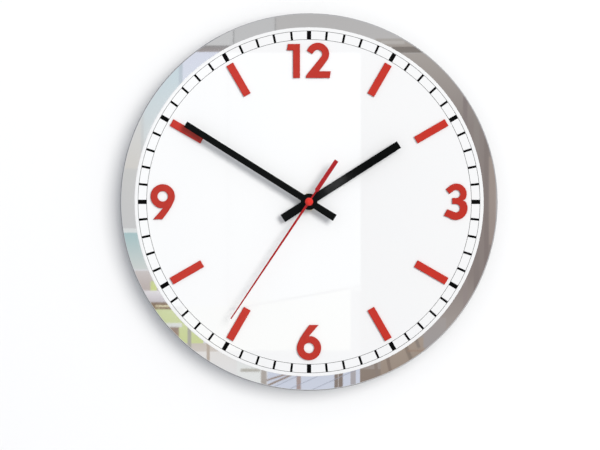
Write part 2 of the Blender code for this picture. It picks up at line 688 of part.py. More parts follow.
def main():
    upright = make_empty("clock_frame", rotation=(math.pi / 2, 0, 0))
    places = {"seconds": CENTRE, "minute": CENTRE, "hour": CENTRE, "third": THIRD,
              "intermediate": INTERMEDIATE, "rotor": ROTOR, "motion": MOTION, "setting": SETTING,
              "battery": CENTRE}
    axes = {name: make_empty(f"{name}_axis", upright, (*place, 0.0)) for name, place in places.items()}
    build_dial(upright)
    build_bars(upright)
    build_figures(upright)
    build_case(upright)
    build_cover(upright)
    build_hanger(upright)
    build_post(upright)
    build_bridge(upright)
    build_motor(upright)
    build_board(upright)
    build_contacts(upright)
    build_train(axes)
    build_knob(axes)
    build_hands(axes)
    build_cell(axes)


clear_scene()
PARTS = make_collection("wall_clock")
CUTTERS = make_collection("wall_clock_cutters")
main()
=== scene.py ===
"""Looks of a round wall clock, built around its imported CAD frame.

The clock hangs upright: +Z is up, the dial faces -Y and the wall is the plane Y = 0. Most pieces are
drawn in the dial frame: x to the right, y towards 12 o'clock and z forwards out of the wall, which is
called depth below. Lengths are in millimetres until a mesh is made.
"""

import json
import math

import bmesh
import bpy
from mathutils import Matrix, Vector

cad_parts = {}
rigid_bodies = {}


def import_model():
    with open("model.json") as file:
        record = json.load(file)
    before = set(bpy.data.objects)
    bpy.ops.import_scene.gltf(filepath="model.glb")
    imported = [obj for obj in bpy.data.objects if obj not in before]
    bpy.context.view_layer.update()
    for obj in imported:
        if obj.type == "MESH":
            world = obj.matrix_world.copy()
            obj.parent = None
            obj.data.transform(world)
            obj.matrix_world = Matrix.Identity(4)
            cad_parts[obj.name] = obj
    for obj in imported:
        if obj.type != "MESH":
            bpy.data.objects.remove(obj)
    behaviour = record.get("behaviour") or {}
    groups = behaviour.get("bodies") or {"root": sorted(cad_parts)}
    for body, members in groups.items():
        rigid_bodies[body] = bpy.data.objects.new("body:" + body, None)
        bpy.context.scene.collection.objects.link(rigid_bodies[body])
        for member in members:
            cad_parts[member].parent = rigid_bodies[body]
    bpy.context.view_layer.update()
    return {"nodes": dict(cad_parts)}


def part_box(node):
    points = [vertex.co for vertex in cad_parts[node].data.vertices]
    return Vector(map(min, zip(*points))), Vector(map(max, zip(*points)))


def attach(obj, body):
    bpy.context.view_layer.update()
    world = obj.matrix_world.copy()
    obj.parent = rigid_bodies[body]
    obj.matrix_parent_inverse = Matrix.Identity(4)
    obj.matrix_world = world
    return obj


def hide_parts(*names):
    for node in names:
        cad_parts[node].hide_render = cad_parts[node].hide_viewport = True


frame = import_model()

MM = 0.001
UPRIGHT = Matrix.Rotation(math.pi / 2, 4, "X")
ARBOR = (0.0, 0.0)

# Meshes: where faces meet in a sharp edge, how edges are rounded and how near points are joined.
SHARP_ANGLE = math.radians(30)
BEVEL_ANGLE = math.radians(35)
BEVEL_SEGMENTS = 2
WELD_DISTANCE = 0.001
MIRROR_ROUNDING = 0.6
DIAL_ROUNDING = 0.25
RIM_STEPS = 256

# Marks on the dial.
BAR_HOURS = (1, 2, 4, 5, 7, 8, 10, 11)
BAR_WIDTH = 6.13
BAR_RADII = (97.8, 125.9)
FIGURE_HEIGHT = 27.0
FIGURE_STROKE = 5.5
FIGURE_PLACES = {"1": (-9.9, 111.7), "2": (6.97, 111.7), "3": (116.4, 0.0), "6": (0.0, -115.9),
                 "9": (-116.0, 4.38)}
MARK_BEVEL = 0.15
TRACK_RADII = (128.85, 135.7)
TRACK_LINE = 0.3
TICK_WIDTH = 1.8
FIVE_MINUTE_WIDTH = 3.4
INK_THICKNESS = 0.05

# Hands: clockwise angle from 12 in degrees, reach either side of the arbor, and widths.
HOUR_HAND = {"angle": 57.5, "tip": 84.2, "tail": 24.6, "tip_width": 6.2, "tail_width": 6.8,
             "hub": 6.3, "hole": 2.85}
MINUTE_HAND = {"angle": 302.15, "tip": 115.1, "tail": 24.0, "tip_width": 5.0, "tail_width": 5.7,
               "hub": 6.5, "hole": 1.9}
SECOND_HAND = {"angle": 213.75, "tip": 110.8, "tail": 39.0, "tip_width": 1.0, "needle_width": 1.9,
               "neck_width": 1.3, "neck": 9.5, "shoulder": 11.0, "tail_width": 3.4,
               "hub": 2.9, "hole": 0.9}
HAND_BEVEL = 0.12
BLADE_THICKNESS = 0.6
COLLET_RADII = (0.75, 1.3)

# Movement.
SETTING = (15.155, 7.07)
CASE_HALF = 28.0
GROOVE_LEVELS = (-7.0, -4.0, -1.0, 2.0, 5.0, 8.0, 11.0)
GROOVE_WIDTH = 1.2
GROOVE_DEPTHS = (4.5, 13.5)
CELL_Y = -19.05
CELL_DEPTH = 7.4
CELL_RADIUS = 7.1
CELL_BODY = (-23.9, 24.2)
CELL_BAND = (10.5, 12.6)
CELL_NUB_RADIUS = 2.75
CELL_NUB_END = 25.6
POST_BORE = 2.9
POST_RADIUS = 4.0
POST_FLANGE = 6.0
FLANGE_THICKNESS = 1.2
THREAD_PITCH = 0.8
HOLE_RADIUS = 4.4
ENGRAVING = 0.22
OVERCUT = 0.5

# Brushed metal draws a pattern out along one axis.
BRUSHED = (1.0, 1.0, 0.05)

# Finishes: the name, two colours and two roughnesses of a material, and what else it takes.
FINISHES = {
    "mirror": ("mirror_silver", ((0.90, 0.90, 0.91), (0.86, 0.87, 0.88)), (0.008, 0.03),
               dict(metallic=1.0, patch=14.0, grain=900.0, height=0.00002)),
    "mirror_edge": ("mirror_acrylic_edge", ((0.42, 0.45, 0.46), (0.30, 0.33, 0.35)), (0.10, 0.28),
                    dict(stretch=BRUSHED, height=0.006)),
    "mirror_back": ("mirror_backing_paint", ((0.42, 0.44, 0.47), (0.37, 0.39, 0.42)), (0.38, 0.55),
                    dict(patch=25.0, grain=1400.0, height=0.02)),
    "white_acrylic": ("dial_white_acrylic", ((0.765, 0.763, 0.760), (0.757, 0.759, 0.759)), (0.008, 0.022),
                      dict(patch=18.0, grain=1500.0, height=0.0001)),
    "ink": ("track_ink", ((0.002, 0.002, 0.002), (0.004, 0.004, 0.004)), (0.35, 0.55),
            dict(patch=200.0, grain=6000.0, height=0.004, Specular_IOR_Level=0.02)),
    "bar_red": ("bar_red_acrylic", ((0.48, 0.030, 0.019), (0.44, 0.026, 0.016)), (0.12, 0.24),
                dict(patch=120.0, grain=2500.0, height=0.002, Specular_IOR_Level=0.12)),
    "figure_red": ("figure_red_acrylic", ((0.44, 0.029, 0.018), (0.40, 0.025, 0.016)), (0.12, 0.24),
                   dict(patch=120.0, grain=2500.0, height=0.002, Specular_IOR_Level=0.12)),
    "black_hands": ("hand_black_paint", ((0.0025, 0.003, 0.003), (0.0038, 0.0042, 0.0042)), (0.05, 0.08),
                    dict(patch=150.0, grain=4000.0, height=0.0003, Specular_IOR_Level=0.02)),
    "red_paint": ("second_hand_red_paint", ((0.34, 0.0075, 0.0105), (0.31, 0.0065, 0.009)), (0.20, 0.32),
                  dict(patch=150.0, grain=4000.0, height=0.005, Specular_IOR_Level=0.12)),
    "red_cap": ("cap_red_plastic", ((0.67, 0.020, 0.010), (0.62, 0.018, 0.009)), (0.16, 0.26),
                dict(patch=300.0, grain=5000.0, height=0.003, Specular_IOR_Level=0.4)),
    "brass": ("turned_brass", ((0.72, 0.53, 0.20), (0.60, 0.43, 0.15)), (0.18, 0.36),
              dict(metallic=1.0, patch=180.0, grain=5000.0, height=0.006, stretch=(0.1, 1.0, 0.1))),
    "black_plastic": ("movement_black_abs", ((0.024, 0.024, 0.025), (0.036, 0.036, 0.037)), (0.32, 0.52),
                      dict(patch=70.0, grain=3500.0, height=0.035)),
    "knob_plastic": ("knob_black_plastic", ((0.020, 0.020, 0.021), (0.034, 0.034, 0.034)), (0.30, 0.50),
                     dict(patch=300.0, grain=4500.0, height=0.02)),
    "rubber": ("gasket_rubber", ((0.018, 0.018, 0.018), (0.032, 0.031, 0.030)), (0.70, 0.92),
               dict(patch=200.0, grain=2500.0, height=0.05)),
    "white_plastic": ("acetal_white", ((0.80, 0.79, 0.74), (0.74, 0.73, 0.67)), (0.30, 0.46),
                      dict(patch=200.0, grain=5000.0, height=0.008, Subsurface_Weight=0.1,
                           Subsurface_Scale=0.002)),
    "bobbin_plastic": ("bobbin_cream", ((0.72, 0.66, 0.50), (0.64, 0.58, 0.43)), (0.40, 0.56),
                       dict(patch=200.0, grain=4000.0, height=0.01)),
    "copper_wire": ("enamelled_copper", ((0.62, 0.22, 0.08), (0.48, 0.15, 0.05)), (0.22, 0.40),
                    dict(metallic=0.9, patch=400.0, grain=6000.0, height=0.01)),
    "stator_steel": ("stator_soft_iron", ((0.46, 0.46, 0.47), (0.38, 0.38, 0.40)), (0.30, 0.50),
                     dict(metallic=1.0, patch=160.0, grain=3500.0, height=0.01, stretch=BRUSHED)),
    "plated_steel": ("nickel_plate", ((0.68, 0.67, 0.64), (0.58, 0.57, 0.54)), (0.16, 0.34),
                     dict(metallic=1.0, patch=160.0, grain=4000.0, height=0.006, stretch=BRUSHED)),
    "board": ("solder_resist_green", ((0.03, 0.20, 0.07), (0.02, 0.13, 0.05)), (0.25, 0.45),
              dict(patch=500.0, grain=2500.0, height=0.03)),
    "chip_resin": ("chip_black_resin", ((0.012, 0.012, 0.013), (0.02, 0.02, 0.02)), (0.45, 0.65),
                   dict(patch=500.0, grain=8000.0, height=0.01)),
    "magnet": ("sintered_magnet", ((0.16, 0.16, 0.17), (0.10, 0.10, 0.11)), (0.35, 0.55),
               dict(metallic=0.8, patch=800.0, grain=9000.0, height=0.01)),
    "cell_label": ("cell_label_film", ((0.07, 0.09, 0.11), (0.055, 0.07, 0.09)), (0.16, 0.28),
                   dict(metallic=0.3, patch=90.0, grain=1500.0, height=0.006, Coat_Weight=0.4)),
    "cell_band": ("cell_silver_band", ((0.62, 0.63, 0.64), (0.54, 0.55, 0.56)), (0.20, 0.32),
                  dict(metallic=0.7, patch=90.0, grain=1500.0, height=0.006)),
    "cell_print": ("cell_white_print", ((0.82, 0.82, 0.80), (0.76, 0.76, 0.74)), (0.35, 0.5),
                   dict(patch=300.0, grain=4000.0, height=0.003)),
}

# Moulded and stamped pieces: CAD node, the word added for its piece, finish, width of rounded edges.
REFINED = (
    ("hanging_loop", "moulded", "black_plastic", 0.25),
    ("setting_knob", "moulded", "knob_plastic", 0.12),
    ("setting_pinion", "moulded", "white_plastic", 0.05),
    ("gear_bridge", "moulded", "white_plastic", 0.1),
    ("seconds_wheel", "moulded", "white_plastic", 0.04),
    ("centre_wheel", "moulded", "white_plastic", 0.04),
    ("hour_wheel", "moulded", "white_plastic", 0.04),
    ("third_wheel", "moulded", "white_plastic", 0.04),
    ("intermediate_wheel", "moulded", "white_plastic", 0.04),
    ("rotor_pinion", "moulded", "white_plastic", 0.03),
    ("motion_wheel", "moulded", "white_plastic", 0.04),
    ("rotor_magnet", "ring", "magnet", 0.1),
    ("minute_pipe", "turned", "brass", 0.05),
    ("hand_nut", "hex", "brass", 0.12),
    ("stator_left", "stamped", "stator_steel", 0.05),
    ("stator_right", "stamped", "stator_steel", 0.05),
    ("coil_core", "stamped", "stator_steel", 0.05),
    ("coil_bobbin", "moulded", "bobbin_plastic", 0.08),
    ("coil_winding", "wound", "copper_wire", 0.1),
    ("circuit_board", "cut", "board", 0.05),
    ("timing_chip", "potted", "chip_resin", 0.15),
    ("quartz_crystal", "can", "plated_steel", 0.0),
    ("positive_contact", "strip", "plated_steel", 0.04),
    ("negative_contact", "strip", "plated_steel", 0.04),
)

# The camera stands square to the dial, a little left of and below its centre.
CAMERA_PLACE = (-7.16, -18.35)
CAMERA_DISTANCE = 1322.5
CAMERA_LENS = 100.0
SENSOR_WIDTH = 36.0

# Studio. Soft light comes from all round, and a room stands behind the camera for the mirror to show.
SOFT_LIGHT = 0.62
SOFT_LIGHT_BEHIND = 0.08
SOFT_LIGHT_TURN = (-0.02, 0.05)
SKY_COLOUR = (0.962, 0.985, 1.04, 1.0)
REFLECTED_SKY = 0.6
SEEN_SKY = 0.86
MIRROR_FACE = 20.6
DIAL_FACE = 23.4
MIRROR_GAIN = 0.88
ROOM_DISTANCE = 2600.0
ROOM_LAYER = 1.5

# Lamp of the room that glints on the hour hand, by its place, size and turn in the mirror.
LAMP_PLACE = (21.0, 13.4)
LAMP_SIZE = (16.0, 5.6)
LAMP_TURN = -32.5
LAMP_STRENGTH = 62.0

# Wall and floor in metres. The wall stands just behind the clock.
WALL_SIDES = (-3, 3, -0.7, 2.4)
WALL_PLACE = 0.0004
WALL_COLOUR = (0.836, 0.836, 0.836, 1.0)
FLOOR_HEIGHT = -0.7
FLOOR_REACH = 6

# Area lights in metres and watts: place, size, power, colour and the point that each faces.
LIGHTS = (
    ("wall_light", (2.05, -4.2, 0.86), (3.5, 3.8), 225.0, (1.0, 0.986, 0.958), (2.05, 0.0, 0.86)),
    ("key_light", (2.56, -4.2, 1.64), (2.6, 2.4), 268.0, (1.0, 0.99, 0.965), (2.56, 0.0, 1.64)),
    ("rear_light", (-1.2, 1.1, 0.9), (0.8, 0.8), 22.0, (1.0, 1.0, 1.0), (0.0, 0.0, 0.0)),
)
# One light falls on the wall alone and one on everything else.
WALL_LINKS = (("wall_light", "INCLUDE"), ("key_light", "EXCLUDE"))

WHITE = (255, 255, 255)

# Panels of the room as (left, right, bottom, top) in the mirror, with the colours at foot and top.
ROOM = (
    ("far_wall", (-170, 170, -170, 170), (214, 214, 216), (214, 216, 220)),
    ("ceiling", (-160, 160, 117, 170), (184, 182, 181), (180, 178, 177)),
    ("ceiling_left", (-160, -59.9, 124, 170), (196, 196, 196), (199, 199, 199)),
    ("ceiling_middle", (-59.9, -26.9, 124, 170), (191, 191, 191), (189, 188, 188)),
    ("ceiling_seam_1", (-60.3, -59.6, 124, 170), (132, 132, 132), (136, 136, 136)),
    ("ceiling_seam_2", (-27.1, -26.5, 124, 170), (134, 134, 134), (138, 138, 138)),
    ("beam_left", (-160, -58, 119.3, 124.4), (158, 150, 149), (142, 141, 141)),
    ("window_upper", (-103, -58, 60, 119.3), (217, 226, 233), (214, 217, 230)),
    ("window_middle", (-131.5, -103, 10, 119.3), (216, 214, 211), (199, 216, 223)),
    ("window_mullion_1", (-103.5, -100.5, 60, 112), (196, 206, 212), (186, 196, 206)),
    ("window_outer", (-170, -133, 26.5, 90), (208, 205, 200), (214, 217, 218)),
    ("window_mullion_2", (-133.6, -131.4, 26.5, 90), (198, 198, 196), (206, 212, 214)),
    ("cabinet", (-170, -120, -21, 26.5), (197, 197, 197), (200, 200, 198)),
    ("shelf", (-170, -120, -24.5, -21), (217, 221, 220), (216, 218, 217)),
    ("glass", (-170, -120, -53.5, -24.5), (203, 208, 205), (166, 192, 194)),
    ("chair_back", (-170, -110, -70.5, -54.7), (184, 172, 168), (200, 194, 192)),
    ("plant", (-126, -121, -70.5, -63), (204, 214, 140), (198, 208, 150)),
    ("sill", (-170, -105, -79.8, -70.5), (196, 190, 194), (224, 221, 224)),
    ("handrail", (-170, -100, -85.4, -79.8), (142, 122, 104), (134, 116, 100)),
    ("handrail_light", (-122, -100, -83.4, -82.2), (226, 216, 180), (230, 222, 190)),
    ("lawn_left", (-170, -84, -113, -85.4), (200, 209, 152), (206, 214, 168)),
    ("rail", (-116, -101, -99.6, -96.4), (214, 216, 212), (224, 226, 226)),
    ("bench", (-116, -103.5, -108, -99.6), (162, 142, 132), (150, 132, 120)),
    ("terrace", (-170, -60, -119, -112.4), (206, 199, 192), (199, 192, 182)),
    ("path", (-170, -57, -170, -119), (224, 228, 232), (222, 219, 216)),
    ("post_1", (-96.6, -93.6, -125, -99), (172, 168, 162), (168, 168, 156)),
    ("post_2", (-81.4, -78.9, -140, -112), (178, 166, 156), (184, 172, 160)),
    ("pale_gate", (-57, -37, -170, -126), (226, 227, 226), (224, 226, 224)),
    ("table", (-54.5, -39, -135, -132.6), (168, 164, 156), (176, 172, 162)),
    ("sky_strip", (-33, 43, -170, -126), (204, 209, 222), (199, 204, 217)),
    ("post_3", (-38.2, -33.8, -170, -126), (160, 152, 144), (176, 168, 162)),
    ("post_4", (-9.9, -6.5, -170, -132), (158, 140, 136), (166, 148, 142)),
    ("post_5", (20.2, 26.9, -170, -132), (126, 114, 107), (134, 122, 114)),
    ("post_gap", (23.0, 23.6, -170, -132), (190, 184, 182), (190, 184, 182)),
    ("curtain", (33, 37.2, -170, -130), (162, 158, 162), (170, 166, 168)),
    ("right_wall_foot", (40.5, 170, -170, -100), (146, 134, 126), (160, 152, 147)),
    ("right_wall_low", (40.5, 170, -100, -58), (160, 152, 147), (137, 127, 123)),
    ("right_wall_middle", (40.5, 170, -58, 60), (137, 127, 123), (140, 131, 127)),
    ("right_wall_top", (40.5, 170, 60, 118.3), (140, 131, 127), (165, 159, 154)),
    ("right_corner", (41, 57, -170, -133), (132, 116, 108), (140, 128, 118)),
    ("right_cupboard", (57, 92, -140, -108), (152, 138, 126), (164, 150, 138)),
    ("right_door", (91, 109, -116, -92), (158, 153, 152), (160, 153, 150)),
    ("right_batten_1", (122.5, 126, -84, 84), (146, 136, 133), (134, 125, 123)),
    ("right_batten_2", (131, 135.5, -84, 84), (130, 120, 117), (146, 139, 134)),
    ("right_batten_3", (139.2, 142.6, -60, 60), (130, 119, 116), (133, 124, 120)),
    ("right_light_strip", (143.2, 148.6, -34, 36), (152, 140, 134), (160, 148, 140)),
    ("right_gap", (148.4, 151, -14, 16), (172, 164, 160), (172, 164, 160)),
    ("beam_right", (66, 170, 118.6, 123.4), (130, 124, 119), (126, 120, 115)),
    ("beam_upper", (53, 170, 123.4, 130), (160, 153, 147), (170, 166, 162)),
    ("beam_light", (57, 76, 125.4, 128), (176, 172, 168), (182, 178, 174)),
)

# What the glossy dial shows of the same room, faintly: these stay inside its rim.
INNER_REACH = 137.4
INNER_GLOW = 2.1
INNER_ROOM = (
    ("inner_garden", (-100, 33, -118, -66), (252, 253, 226), (252, 255, 240)),
    ("inner_window_left", (-140, -65.2, -83, 118.5), (248, 252, 252), (248, 253, 254)),
    ("inner_mullion", (-65.2, -63.6, -82, 118.5), (206, 209, 208), (210, 214, 214)),
    ("inner_window", (-63.6, 4, -78, 118.5), (250, 255, 254), (250, 255, 255)),
    ("inner_window_right", (4, 41, -70, 118.5), (244, 249, 249), (249, 253, 254)),
)

# Cards that curve close round the mirror for its rounded rim to show: start and end angle, colour.
RIM_CARDS = (("rim_card_dark", 118, 288, (10, 11, 12)), ("rim_card_grey", -72, 118, (140, 134, 129)))
RIM_CARD_RADIUS = 195.0
RIM_CARD_DEPTHS = (-20.0, 55.0)

# Card above and behind the clock that gives the black plastic its sheen, in metres.
REAR_CARD = [(-0.2, 1.6, 0.6), (1.6, 1.2, 0.6), (1.6, 1.0, 1.8), (-0.2, 1.4, 1.8)]

# Slanting bars of the room as start, end, thickness and colour, in the mirror.
SLANTED = (
    ("sill_edge", (-64, -85.5), (41, -67.0), 1.5, (200, 200, 194)),
    ("stair_rail_1", (-34, -146.5), (-14, -137.5), 1.5, (146, 130, 120)),
    ("stair_rail_2", (-34, -142.0), (-16, -136.2), 1.4, (152, 137, 128)),
    ("cable_1", (-30, -148.0), (20, -125.5), 0.45, (150, 154, 170)),
    ("cable_2", (-16, -149.0), (34, -126.5), 0.45, (152, 156, 172)),
    ("cable_3", (2, -149.5), (40, -132.4), 0.45, (152, 156, 172)),
    ("chair_leg_1", (74, -108.0), (81.5, -126.0), 3.0, (134, 122, 112)),
    ("chair_leg_2", (83, -103.0), (87.5, -116.0), 2.6, (138, 128, 120)),
    ("chair_seat", (78, -118.4), (92, -118.4), 1.0, (152, 128, 112)),
    ("cupboard_edge_1", (61, -118.0), (66, -140.0), 2.6, (136, 122, 112)),
    ("cupboard_edge_2", (52.5, -124.0), (54.5, -142.0), 2.6, (138, 126, 118)),
)


# -------- outlines, in millimetres


def on_circle(centre, radius, degrees):
    angle = math.radians(degrees)
    return centre[0] + radius * math.cos(angle), centre[1] + radius * math.sin(angle)


def arc(centre, radius, start, end, steps):
    """Points on an arc from one angle to another, counter-clockwise when end is the larger."""
    return [on_circle(centre, radius, start + (end - start) * index / steps) for index in range(steps + 1)]


def circle(radius, centre=ARBOR, steps=96):
    return arc(centre, radius, 0, 360, steps)[:-1]


def bend(start, control, end, steps):
    """Inner points of a curve that leaves start towards control and arrives at end."""
    points = []
    for index in range(1, steps):
        t = index / steps
        weights = ((1 - t) ** 2, 2 * t * (1 - t), t ** 2)
        points.append(tuple(sum(weight * point[axis] for weight, point in
                                zip(weights, (start, control, end))) for axis in (0, 1)))
    return points


def turned(points, degrees):
    """The points turned clockwise about the arbor, as seen from the front."""
    angle = math.radians(degrees)
    cos, sin = math.cos(angle), math.sin(angle)
    return [(x * cos + y * sin, y * cos - x * sin) for x, y in points]


def moved(points, x, y):
    return [(px + x, py + y) for px, py in points]


def rectangle(left, right, bottom, top):
    return [(left, bottom), (right, bottom), (right, top), (left, top)]


def clipped(points, left, right, bottom, top):
    """The part of a convex outline that lies within a rectangle."""
    for axis, limit, keep in ((0, left, 1), (0, right, -1), (1, bottom, 1), (1, top, -1)):
        kept = []
        for start, end in zip(points, points[1:] + points[:1]):
            inside, next_inside = (keep * (point[axis] - limit) >= 0 for point in (start, end))
            if inside:
                kept.append(start)
            if inside != next_inside:
                t = (limit - start[axis]) / (end[axis] - start[axis])
                kept.append(tuple(a + (b - a) * t for a, b in zip(start, end)))
        points = kept
    return points


# -------- meshes


def finish_mesh(shape, place=UPRIGHT):
    """A smooth-shaded mesh in metres, stood upright, from a shape in dial millimetres."""
    mesh = bpy.data.meshes.new("shape")
    shape.to_mesh(mesh)
    shape.free()
    mesh.transform(Matrix.Scale(MM, 4) @ place)
    mesh.shade_smooth()
    mesh.set_sharp_from_angle(angle=SHARP_ANGLE)
    return mesh


def plate(outline, depth, holes=()):
    """A flat solid between two depths: a filled 2D curve made into a welded mesh."""
    low, high = depth
    curve = bpy.data.curves.new("outline", "CURVE")
    curve.dimensions = "2D"
    curve.fill_mode = "BOTH"
    curve.extrude = (high - low) / 2
    for ring in (outline, *holes):
        spline = curve.splines.new("POLY")
        spline.points.add(len(ring) - 1)
        spline.use_cyclic_u = True
        for point, (x, y) in zip(spline.points, ring):
            point.co = (x, y, 0, 1)
    source = bpy.data.objects.new("outline", curve)
    bpy.context.scene.collection.objects.link(source)
    shape = bmesh.new()
    shape.from_mesh(evaluated(source))
    bpy.data.objects.remove(source, do_unlink=True)
    bmesh.ops.remove_doubles(shape, verts=shape.verts, dist=WELD_DISTANCE)
    bmesh.ops.dissolve_limit(shape, angle_limit=math.radians(0.1), verts=shape.verts, edges=shape.edges)
    bmesh.ops.recalc_face_normals(shape, faces=shape.faces)
    bmesh.ops.translate(shape, verts=shape.verts, vec=(0, 0, (low + high) / 2))
    return finish_mesh(shape)


def lathe(profile, steps=96, closed=False, place=UPRIGHT):
    """A turned solid. The profile is (radius, depth) points, from the axis to the axis or closed."""
    shape = bmesh.new()
    verts = [shape.verts.new((radius, 0, height)) for radius, height in profile]
    pairs = list(zip(verts, verts[1:]))
    if closed:
        pairs.append((verts[-1], verts[0]))
    edges = [shape.edges.new(pair) for pair in pairs]
    bmesh.ops.spin(shape, geom=verts + edges, cent=(0, 0, 0), axis=(0, 0, 1),
                   angle=2 * math.pi, steps=steps, use_merge=True)
    bmesh.ops.remove_doubles(shape, verts=shape.verts, dist=WELD_DISTANCE / 2)
    bmesh.ops.recalc_face_normals(shape, faces=shape.faces)
    return finish_mesh(shape, place)


def ring_profile(inner, outer, depth, rounding, steps=4):
    """The section of a flat ring whose four edges are rounded, with a line of support beside each."""
    low, high = depth
    corners = ((outer - rounding, high - rounding, 0), (inner + rounding, high - rounding, 90),
               (inner + rounding, low + rounding, 180), (outer - rounding, low + rounding, 270))
    support = rounding * 0.3
    points = []
    for x, y, start in corners:
        bend_points = arc((x, y), rounding, start, start + 90, steps)
        points.append(on_circle(bend_points[0], support, start - 90))
        points += bend_points
        points.append(on_circle(bend_points[-1], support, start + 180))
    return points


def box_mesh(low, high):
    """A box between two opposite corners in the dial frame."""
    shape = bmesh.new()
    size = [b - a for a, b in zip(low, high)]
    middle = [(a + b) / 2 for a, b in zip(low, high)]
    bmesh.ops.create_cube(shape, size=1.0, matrix=Matrix.Translation(middle) @ Matrix.Diagonal((*size, 1)))
    return finish_mesh(shape)


def joined(meshes):
    """One mesh that holds the shells of several."""
    shape = bmesh.new()
    for mesh in meshes:
        shape.from_mesh(mesh)
    result = bpy.data.meshes.new("joined")
    shape.to_mesh(result)
    shape.free()
    return result


def evaluated(obj):
    """The mesh of an object with its modifiers applied."""
    bpy.context.view_layer.update()
    return bpy.data.meshes.new_from_object(obj.evaluated_get(bpy.context.evaluated_depsgraph_get()))


def combined(mesh, tool_mesh, operation):
    """The mesh with a tool's shape taken out of it, or only what lies within the tool."""
    body = bpy.data.objects.new("body", mesh)
    tool = bpy.data.objects.new("tool", tool_mesh)
    for obj in (body, tool):
        bpy.context.scene.collection.objects.link(obj)
    boolean = body.modifiers.new("combine", "BOOLEAN")
    boolean.solver = "EXACT"
    boolean.operation = operation
    boolean.object = tool
    result = evaluated(body)
    for obj in (body, tool):
        bpy.data.objects.remove(obj, do_unlink=True)
    result.set_sharp_from_angle(angle=SHARP_ANGLE)
    return result


def clean_copy(node):
    """A CAD node's shape with its corners joined and its flat faces whole, ready to be refined."""
    shape = bmesh.new()
    shape.from_mesh(frame["nodes"][node].data)
    bmesh.ops.remove_doubles(shape, verts=shape.verts, dist=WELD_DISTANCE * MM)
    bmesh.ops.dissolve_limit(shape, angle_limit=math.radians(0.5), verts=shape.verts, edges=shape.edges)
    mesh = bpy.data.meshes.new(node)
    shape.to_mesh(mesh)
    shape.free()
    for name in ("custom_normal", "sharp_face", "sharp_edge"):
        if name in mesh.attributes:
            mesh.attributes.remove(mesh.attributes[name])
    mesh.materials.clear()
    mesh.shade_smooth()
    mesh.set_sharp_from_angle(angle=SHARP_ANGLE)
    return mesh


def extent(node):
    """A round CAD node's radius and its two depths, in millimetres."""
    low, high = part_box(node)
    return (high.x - low.x) / 2 / MM, (-high.y / MM, -low.y / MM)


# -------- materials


def linear(colour):
    """The light of a colour given as it looks on a screen, from 0 to 255."""
    return tuple(((c / 255 + 0.055) / 1.055) ** 2.4 if c > 10 else c / 255 / 12.92 for c in colour)


def add_node(tree, kind, **inputs):
    node = tree.nodes.new(f"ShaderNode{kind}")
    for name, value in inputs.items():
        node.inputs[name.replace("_", " ")].default_value = value
    return node


def noise(tree, scale, detail, stretch=(1.0, 1.0, 1.0)):
    """A cloudy pattern of that many spots a metre, which may be drawn out along an axis."""
    place = add_node(tree, "TexCoord")
    mapping = add_node(tree, "Mapping", Scale=stretch)
    tree.links.new(place.outputs["Object"], mapping.inputs["Vector"])
    pattern = add_node(tree, "TexNoise", Scale=scale, Detail=detail)
    tree.links.new(mapping.outputs["Vector"], pattern.inputs["Vector"])
    return pattern.outputs["Fac"]


def ranged(tree, value, low, high, start=0.3, end=0.7):
    """A pattern's values spread between low and high."""
    spread = add_node(tree, "MapRange", From_Min=start, From_Max=end, To_Min=low, To_Max=high)
    tree.links.new(value, spread.inputs["Value"])
    return spread.outputs["Result"]


def mixed(tree, share, first, second):
    """Two colours mixed by a pattern."""
    mix = tree.nodes.new("ShaderNodeMix")
    mix.data_type = "RGBA"
    tree.links.new(share, mix.inputs["Factor"])
    for socket, colour in ((mix.inputs[6], first), (mix.inputs[7], second)):
        if isinstance(colour, tuple):
            socket.default_value = (*colour, 1.0)
        else:
            tree.links.new(colour, socket)
    return mix.outputs[2]


def make_material(name, colours, roughness, height, metallic=0.0, patch=60.0, grain=3000.0,
                  stretch=(1.0, 1.0, 1.0), **sockets):
    """A material with cloudy colour, uneven gloss and a fine surface grain.

    colours and roughness each hold two values that the patches run between, patch and grain count
    spots a metre, and height is the depth of the grain in millimetres.
    """
    material = bpy.data.materials.new(name)
    material.use_nodes = True
    tree = material.node_tree
    shader = tree.nodes["Principled BSDF"]
    shader.inputs["Metallic"].default_value = metallic
    for socket, value in sockets.items():
        shader.inputs[socket.replace("_", " ")].default_value = value
    cloud = noise(tree, patch, 4.0)
    share = ranged(tree, cloud, 0.0, 1.0)
    tree.links.new(mixed(tree, share, *colours), shader.inputs["Base Color"])
    fine = noise(tree, grain, 2.0, stretch)
    wear = add_node(tree, "Math")
    wear.operation = "MULTIPLY"
    tree.links.new(share, wear.inputs[0])
    tree.links.new(ranged(tree, fine, 0.5, 1.0), wear.inputs[1])
    tree.links.new(ranged(tree, wear.outputs[0], *roughness, 0.0, 1.0), shader.inputs["Roughness"])
    bump = add_node(tree, "Bump", Distance=height * MM)
    tree.links.new(fine, bump.inputs["Height"])
    tree.links.new(bump.outputs["Normal"], shader.inputs["Normal"])
    return material


def make_materials():
    """Every finish on the clock, by name."""
    return {look: make_material(name, colours, roughness, **more)
            for look, (name, colours, roughness, more) in FINISHES.items()}


# -------- pieces


def add_piece(name, mesh, body, looks, replaces=(), bevel=0.0):
    """Adds a finished piece to a CAD body. bevel is the width of its rounded edges in millimetres."""
    piece = bpy.data.objects.new(name, mesh)
    bpy.context.scene.collection.objects.link(piece)
    mesh.materials.clear()
    for look in looks:
        mesh.materials.append(LOOKS[look])
    if bevel:
        edge = piece.modifiers.new("rounded_edges", "BEVEL")
        edge.width = bevel * MM
        edge.segments = BEVEL_SEGMENTS
        edge.limit_method = "ANGLE"
        edge.angle_limit = BEVEL_ANGLE
        edge.harden_normals = True
    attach(piece, body)
    if replaces:
        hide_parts(*replaces)
    return piece


